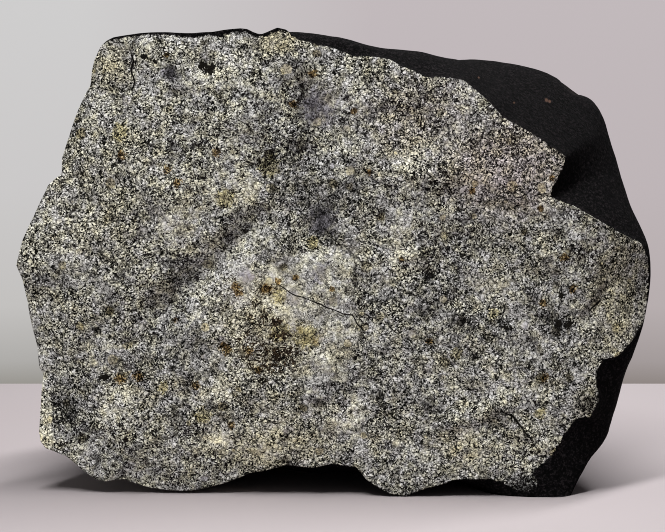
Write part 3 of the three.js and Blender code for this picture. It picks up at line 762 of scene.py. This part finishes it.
def stone_material(sizes, across):
    """Broken chondrite with fusion crust, in one material that changes over at the edge.

    The break is a tight mass of grey crystals (olivine, pyroxene, feldspar) with chondrules,
    rusting metal and pale clasts: rough, dull and strongly speckled. The crust is melted glass
    of the same rock: nearly black, matt, with a fine grain. `across` is how far the stone was
    moved along X to its place."""
    material, add, place = new_material("chondrite_with_fusion_crust")
    mark = {name: add("Attribute", attribute_name=name).outputs["Fac"] for name in MARKS}
    drift = add("TexNoise", place, Scale=DRIFT_RATE)

    def weighed(total, *parts):
        """A total with each part's source times its weight added."""
        for source, weight in parts:
            total = add("Math MULTIPLY_ADD", source, weight, total)
        return total

    def frayed(depth):
        """A depth in millimetres that wanders with the drift."""
        return weighed(add("Math SUBTRACT", depth, EDGE_FRAY / 2), (drift, EDGE_FRAY))

    # Crystals: thin cells that lie side by side in each grain, and point another way in the next.
    bent = add("VectorMath MULTIPLY_ADD", drift.outputs["Color"], [0.5] * 3, place)
    clump = add("TexVoronoi", bent, Scale=1 / sizes.grain_mm)
    seam = add("TexVoronoi", bent, Scale=1 / sizes.grain_mm, feature="DISTANCE_TO_EDGE")
    clump_shade, clump_hue, clump_turn = add("SeparateColor", clump.outputs["Color"]).outputs
    angle = add("Math MULTIPLY", clump_turn, math.pi)
    turned = add("VectorRotate", bent, Angle=angle, rotation_type="Y_AXIS")
    drawn_out = add("VectorMath MULTIPLY", turned, [1.3, 1, 0.75])
    grain = add("TexVoronoi", drawn_out, Scale=1 / sizes.crystal_mm)
    grain_shade, grain_fray, grain_kind = add("SeparateColor", grain.outputs["Color"]).outputs
    fines = add("TexNoise", place, Scale=FINES_RATE, Detail=1)

    # Matrix: fine and bluish in some stretches, coarse and pale in others.
    matrix = add("TexNoise", place, Scale=MATRIX_RATE, Detail=4, Roughness=0.6, Distortion=0.4)
    matrix = add("Math MULTIPLY_ADD", mark["fine"], -FINE_SHIFT, matrix)
    coarse = add("MapRange", matrix, 0.4, 0.62)
    cloud = add("TexNoise", place, Scale=CLOUD_RATE, Detail=3, Roughness=0.65)

    # Chondrules: round grains in random sizes and tints, each with a thin dark rim.
    settled = add("VectorMath MULTIPLY_ADD", drift.outputs["Color"], [0.4] * 3, place)
    chondrule = add("TexVoronoi", settled, Scale=1 / sizes.chondrule_mm)
    its_size, its_shade, its_hue = add("SeparateColor", chondrule.outputs["Color"]).outputs
    radius = add("MapRange", its_size, 0.3, 1, 0, 0.4)
    depth_in = add("Math SUBTRACT", radius, chondrule.outputs["Distance"])
    in_chondrule = add("MapRange", depth_in, 0, 0.06)
    on_rim = add("MapRange", add("Math ABSOLUTE", depth_in), 0, 0.05, 0.5, 0)
    its_shade = add("Math MULTIPLY", add("Math SUBTRACT", its_shade, 0.5), in_chondrule)

    # The clast, with painted shade in the gap along its edge, which comes and goes, and the bluish
    # patches.
    clast_depth = frayed(mark["clast"])
    in_clast = add("MapRange", clast_depth, -0.15, 0.15)
    clast_edge_shade = add("MapRange", add("Math ABSOLUTE", clast_depth), 0.05, 0.3, 0.75, 0)
    clast_edge_shade = add("Math MULTIPLY", clast_edge_shade, add("MapRange", cloud, 0.4, 0.55))
    in_slate = add("MapRange", mark["slate"], 0.15, 0.6)

    # Brightness of each crystal: broad shifts, among them the tone with its painted shade, and the
    # speckle, which is calmer in some patches.
    evened = add("Mix", add("Math MULTIPLY", in_clast, CLAST_EVEN), cloud, 0.5)
    broad = weighed(
        0.5 - (CLOUD_WEIGHT + COARSE_LIFT) / 2, (evened, CLOUD_WEIGHT), (coarse, COARSE_LIFT),
        (mark["tone"], TONE_WEIGHT), (its_shade, CHONDRULE_WEIGHT), (in_clast, CLAST_LIFT),
        (in_slate, SLATE_DROP))
    speckle = weighed(
        -(GRAIN_WEIGHT + CLUMP_WEIGHT + FINES_WEIGHT) / 2, (grain_shade, GRAIN_WEIGHT),
        (clump_shade, CLUMP_WEIGHT), (fines, FINES_WEIGHT))
    lively = add("MapRange", coarse, 0, 1, FINE_SPECKLE, COARSE_SPECKLE)
    for source, calm in ((in_chondrule, CHONDRULE_CALM), (in_clast, CLAST_CALM),
                         (in_slate, SLATE_CALM)):
        kept = add("Math MULTIPLY_ADD", source, -calm, 1)
        lively = add("Math MULTIPLY", lively, kept)
    level = add("Math MULTIPLY_ADD", speckle, lively, broad)
    crystals = set_stops(add("ValToRGB", level), [
        [0.06, "#080807"], [0.22, "#201f1d"], [0.38, "#605f5b"], [0.5, "#8f8e88"],
        [0.62, "#b0afa7"], [0.76, "#c8c7bf"], [0.94, "#dad9d2"]])

    # Tint: bluish grey to pale olive yellow.
    hue = add("TexNoise", place, Scale=HUE_RATE, Detail=3, Roughness=0.6)
    hue = weighed(hue, (coarse, 0.12), (clump_hue, 0.03), (mark["tone"], 0.12), (in_clast, 0.02))
    tint = set_stops(add("ValToRGB", hue), [
        [0.46, "#f0f0f6"], [0.6, "#f9f8f0"], [0.72, "#fbf8e7"], [0.88, "#f7efd4"]])
    colour = add("Mix", 1, crystals, tint, **STAIN)
    its_tint = set_stops(add("ValToRGB", its_hue), [
        [0, "#eceaf2"], [0.5, "#f6f3ea"], [0.8, "#f1ead4"], [1, "#ebe2cc"]])
    colour = add("Mix", in_chondrule, colour, its_tint, **STAIN)
    colour = add("Mix", on_rim, colour, "#2a2622", **COVER)

    # Painted shade in the thin crevices between grains, and dark veinlets that come and go.
    seam_shade = add("MapRange", seam.outputs["Distance"], 0, 0.14, 0.4, 1)
    colour = add("Mix", lively, colour, add("Mix", 1, colour, seam_shade, **STAIN), **COVER)
    vein = add("TexNoise", place, Scale=VEIN_RATE, Detail=2.5, Roughness=0.55, Distortion=0.6)
    vein = add("Math SUBTRACT", vein, 0.5)
    vein = add("MapRange", add("Math ABSOLUTE", vein), 0.004, 0.012, 1, 0)
    vein = add("Math MULTIPLY", vein, add("MapRange", cloud, 0.5, 0.56, 0.8, 0))
    # Dark veinlets, and the painted shade along the clast's edge.
    for dark in (vein, clast_edge_shade):
        colour = add("Mix", dark, colour, "#1c1916", **COVER)

    # Named patches and spots, with ragged edges from the crystals. The tone's gain also darkens the
    # patches of painted shade.
    gain = add("Math MULTIPLY_ADD", mark["tone"], TONE_GAIN, 1)
    colour = add("Mix", 1, colour, gain, **STAIN)
    ragged = weighed(-0.55, (grain_fray, 0.3), (drift, 0.8))
    rust = set_stops(add("ValToRGB", grain_kind), [
        [0, "#46382b"], [0.4, "#8a7354"], [0.7, "#c4a97e"], [1, "#e8d6b0"]])
    soil = set_stops(add("ValToRGB", grain_kind), [
        [0, "#0d0a08"], [0.6, "#241c15"], [1, "#4d4030"]])
    web = add("TexNoise", place, Scale=WEB_RATE, Distortion=1.5)
    web = add("Math ABSOLUTE", add("Math SUBTRACT", web, 0.5))
    between = add("Math MULTIPLY", web, -8)
    for name, fray, stain, blend, low, high in (
            ("warm", 0, "#ede5cc", STAIN, 0, 1),
            ("pink", 0, "#f6ebec", STAIN, 0, 1),
            ("olive", ragged, "#e9e2c2", STAIN, 0.3, 0.5),
            ("slate", ragged, "#d5d2de", STAIN, 0.2, 0.6),
            ("net", between, soil, COVER, 0, 0.1),
            ("rust", ragged, rust, STAIN, 0.35, 0.55),
            # The pits: painted shade, near black.
            ("pit_shade", ragged, "#14120f", COVER, 0.4, 0.5)):
        reach = add("MapRange", add("Math ADD", fray, mark[name]), low, high)
        colour = add("Mix", reach, colour, stain, **blend)

    # Fusion crust: black melt with fine brownish grey specks, small nicks, and behind, a browner,
    # lighter skin that is partly wear and partly painted light on the back.
    speck = add("TexNoise", place, Scale=CRUST_SPECK_RATE, Detail=3)
    speck = add("Math MULTIPLY_ADD", grain_shade, 0.5, speck)
    crust = set_stops(add("ValToRGB", speck), [
        [0.6, "#020202"], [0.85, "#070607"], [1, "#1a1718"]])
    from_front = add("VectorMath MULTIPLY", place, [1, 0, 1])
    for x, z, radius in CRUST_NICKS:
        away = add("VectorMath DISTANCE", from_front, [x + across, 0, z])
        nick = add("MapRange", away, radius, 2 * radius, 1, 0)
        crust = add("Mix", nick, crust, "#46352d", **COVER)
    # The lighter skin only on the back half: partly wear, partly painted light.
    behind = add("MapRange", add("SeparateXYZ", place).outputs["Y"], -8, 8)
    wear_and_light = add("TexNoise", place, Scale=WEAR_AND_LIGHT_RATE, Detail=6, Roughness=0.65)
    wear_and_light = add("Math MULTIPLY", add("MapRange", wear_and_light, 0.4, 0.65, 0.25, 0.7), behind)
    crust = add("Mix", wear_and_light, crust, "#332c28", **COVER)
    on_crust = add("MapRange", frayed(mark["past_edge"]), -0.05, 0.1)
    colour = add("Mix", on_crust, colour, crust, **COVER)

    # Cracks: painted shade along each crack.
    off = add("Math ABSOLUTE", mark["crack"])
    line = add("MapRange", off, 0.7, 1.4, 1, 0)
    line = add("Math MULTIPLY", line, mark["crack_shown"])
    colour = add("Mix", line, colour, "#0d0b09", **COVER)

    # Relief that is too fine for the mesh: crystals standing at different heights.
    rise = add("MapRange", seam.outputs["Distance"], 0, 0.2, 0, 0.6)
    rise = add("Math MULTIPLY", weighed(rise, (grain_kind, 0.6), (fines, 0.8)), lively)
    crust_rise = add("TexNoise", place, Scale=CRUST_RELIEF_RATE, Detail=5, Roughness=0.6)
    crust_rise = add("Math MULTIPLY", crust_rise, 1.8)
    bump = add("Bump", Height=add("Mix", on_crust, rise, crust_rise),
               Distance=sizes.crystal_relief_mm * MM)
    skin = add("BsdfPrincipled", Base_Color=colour, Roughness=0.9, IOR=1.55,
               Specular_IOR_Level=0.03, Normal=bump)
    add("OutputMaterial", skin)
    return material


def board_material(settings):
    """Pale cloth-backed board: matt, very slightly pink, with a soft unevenness."""
    material, add, place = new_material("pale_matt_board")
    share = add("Math MULTIPLY", add("TexNoise", place, Scale=0.02), 0.15)
    colour = add("Mix", share, list(settings.board_colour) + [1], "#b9a6a4", **COVER)
    add("OutputMaterial", add("BsdfPrincipled", Base_Color=colour, Roughness=0.85))
    return material


# ---- Settings that a user would change ----

class StoneSettings(bpy.types.PropertyGroup):
    """Sizes of the stone's texture."""

    crystal_mm: FloatProperty(
        name="Crystals", default=0.22, min=0.1, max=2,
        description="Spacing of the crystals, in millimetres")
    crystal_relief_mm: FloatProperty(
        name="Crystal relief", default=0.16, min=0, max=1,
        description="How far crystals stand up, in millimetres")
    grain_mm: FloatProperty(
        name="Grains", default=0.62, min=0.2, max=4,
        description="Spacing of the grains of crystals, in millimetres")
    chondrule_mm: FloatProperty(
        name="Chondrules", default=2.4, min=0.5, max=8,
        description="Spacing of the chondrules, in millimetres")


class StageSettings(bpy.types.PropertyGroup):
    """Light and colours of the stage."""

    top_power: FloatProperty(
        name="Top light", default=5, min=0, unit="POWER",
        description="Power of the long light above")
    face_power: FloatProperty(
        name="Face light", default=5.5, min=0, unit="POWER",
        description="Power of the light that faces the break")
    back_power: FloatProperty(
        name="Back light", default=1.9, min=0, unit="POWER",
        description="Power of the light behind the stone")
    backdrop_strength: FloatProperty(
        name="Backdrop", default=1, min=0, max=5,
        description="How bright the backdrop looks")
    fill_strength: FloatProperty(
        name="Fill light", default=0.12, min=0, max=5,
        description="How much light the backdrop gives all round")
    board_colour: FloatVectorProperty(
        name="Board", subtype="COLOR", size=3, default=linear("#cbc2c4")[:3], min=0, max=1,
        description="Colour of the board under the stone")


# ---- Operators ----

class MakeStone(bpy.types.Operator):
    """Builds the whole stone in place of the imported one"""

    bl_idname = "meteorite.make_stone"
    bl_label = "Make the stone"

    def execute(self, context):
        points, faces, past, front, back = stone_skin()
        low, high = (np.array(corner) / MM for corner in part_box(NODE))
        middle = (points.min(0) + points.max(0)) / 2
        shift = ((low + high) / 2 - middle) * [1, 1, 0]
        stone = new_piece(STONE, points + shift, faces,
                          stone_material(context.scene.meteorite_stone, shift[0]))
        add_values(stone, markings(points, past))
        layer = stone.data.uv_layers.new(name="OFBake")
        layer.data.foreach_set("uv", sheet_places(front, back, faces).ravel())
        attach(stone, "root")
        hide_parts(NODE)
        return {"FINISHED"}


class MakeStage(bpy.types.Operator):
    """Builds the board, the lights, the backdrop and the camera"""

    bl_idname = "meteorite.make_stage"
    bl_label = "Make the stage"

    def execute(self, context):
        settings = context.scene.meteorite_stage
        make_board(settings)
        make_lights(settings)
        make_camera()
        return {"FINISHED"}


def make_board(settings):
    """A rounded board: rows of points run over its top from the front edge to the back edge,
    down round each edge and back underneath."""
    quarter = np.linspace(0, math.pi / 2, 7)
    r, deep = BOARD_ROUNDING, BOARD_THICKNESS
    y = np.concatenate([[BOARD_FRONT], BOARD_FRONT + r - r * np.cos(quarter),
                        BOARD_BACK - r + r * np.sin(quarter), [BOARD_BACK]])
    z = np.concatenate([[-deep], -r + r * np.sin(quarter), -r + r * np.cos(quarter), [-deep]])
    rows = len(y)
    points = np.concatenate([np.stack([np.full(rows, x), y, z], -1)
                             for x in (BOARD_LEFT, BOARD_RIGHT)])
    faces = [[row, row + rows, (row + 1) % rows + rows, (row + 1) % rows] for row in range(rows)]
    faces += [list(range(rows)), list(range(2 * rows - 1, rows - 1, -1))]
    board = new_piece("studio_board", points, faces, board_material(settings))


def soft_light(name, place, size, power):
    """A rectangular light at a place in metres that points at the stone's foot."""
    light = bpy.data.lights.new(name, "AREA")
    light.shape = "RECTANGLE"
    light.size, light.size_y = size
    light.energy = power
    lamp = new_object(name, light)
    lamp.location = place
    lamp.rotation_euler = (-lamp.location).to_track_quat("-Z", "Y").to_euler()
    return lamp


def make_lights(settings):
    """A long light above, just behind the break, so that the stone shades the board at its foot;
    two lights for the stone alone, above the camera and behind; and the backdrop's own light."""
    soft_light("top_light", (0.05, -0.045, 0.6), (0.8, 0.06), settings.top_power)
    face_light = soft_light("face_light", (-0.2, -0.42, 0.5), (0.5, 0.3), settings.face_power)
    back_light = soft_light("back_light", (0.25, 0.38, 0.58), (0.6, 0.3), settings.back_power)
    stone_only = bpy.data.collections.new("lit_by_the_stone_lights")
    stone_only.objects.link(bpy.data.objects[STONE])
    for light in (face_light, back_light):
        light.light_linking.receiver_collection = stone_only

    world = bpy.data.worlds.new("soft_backdrop")
    world.use_nodes = True
    world.node_tree.nodes.clear()
    add = partial(add_node, world.node_tree)
    way = add("SeparateXYZ", add("TexCoord").outputs["Generated"])
    # The backdrop darkens towards the horizon: painted shade where it meets the board.
    horizon_shade = add("MapRange", way.outputs["Z"], -0.165, 0.04)
    colour = set_stops(add("ValToRGB", horizon_shade), [
        [0, "#98958f"], [0.06, "#aeaca9"], [0.2, "#c3c1bf"], [0.5, "#cbc9c9"],
        [1, "#cfcece"]])
    aside = add("MapRange", way.outputs["X"], -0.13, 0.02)
    colour = add("Mix", aside, colour, add("Mix", 1, colour, "#efe6e9", **STAIN), **COVER)
    seen = add("LightPath").outputs["Is Camera Ray"]
    strength = add("Mix", seen, settings.fill_strength, settings.backdrop_strength)
    add("OutputWorld", add("Background", colour, strength))
    bpy.context.scene.world = world


def make_camera():
    """A long lens looking a little down at the broken face."""
    lens = bpy.data.cameras.new("camera")
    lens.sensor_fit = "HORIZONTAL"
    lens.sensor_width = SENSOR_WIDTH
    lens.lens = CAMERA_LENS
    lens.clip_start = 0.01
    camera = new_object("camera", lens)
    camera.location = [value * MM for value in CAMERA_PLACE]
    camera.rotation_euler = (math.radians(90 - CAMERA_DOWN), 0, 0)
    bpy.context.scene.camera = camera


class MeteoritePanel(bpy.types.Panel):
    """Settings and steps of the meteorite"""

    bl_idname = "VIEW3D_PT_meteorite"
    bl_label = "Chondrite meteorite"
    bl_space_type = "VIEW_3D"
    bl_region_type = "UI"
    bl_category = "Meteorite"

    def draw(self, context):
        for settings in (context.scene.meteorite_stone, context.scene.meteorite_stage):
            box = self.layout.box()
            for name in settings.__annotations__:
                box.prop(settings, name)
        for step in STEPS:
            self.layout.operator(step.bl_idname)


STEPS = (MakeStone, MakeStage)
CLASSES = (StoneSettings, StageSettings) + STEPS + (MeteoritePanel,)


def register():
    for each in CLASSES:
        bpy.utils.register_class(each)
    bpy.types.Scene.meteorite_stone = PointerProperty(type=StoneSettings)
    bpy.types.Scene.meteorite_stage = PointerProperty(type=StageSettings)


def unregister():
    del bpy.types.Scene.meteorite_stage
    del bpy.types.Scene.meteorite_stone
    for each in reversed(CLASSES):
        bpy.utils.unregister_class(each)


def main():
    register()
    bpy.context.scene.view_settings.view_transform = "Standard"
    bpy.context.scene.cycles.filter_width = 1.0
    bpy.context.scene.cycles.denoising_prefilter = "NONE"
    bpy.ops.meteorite.make_stone()
    bpy.ops.meteorite.make_stage()


if __name__ == "__main__":
    main()
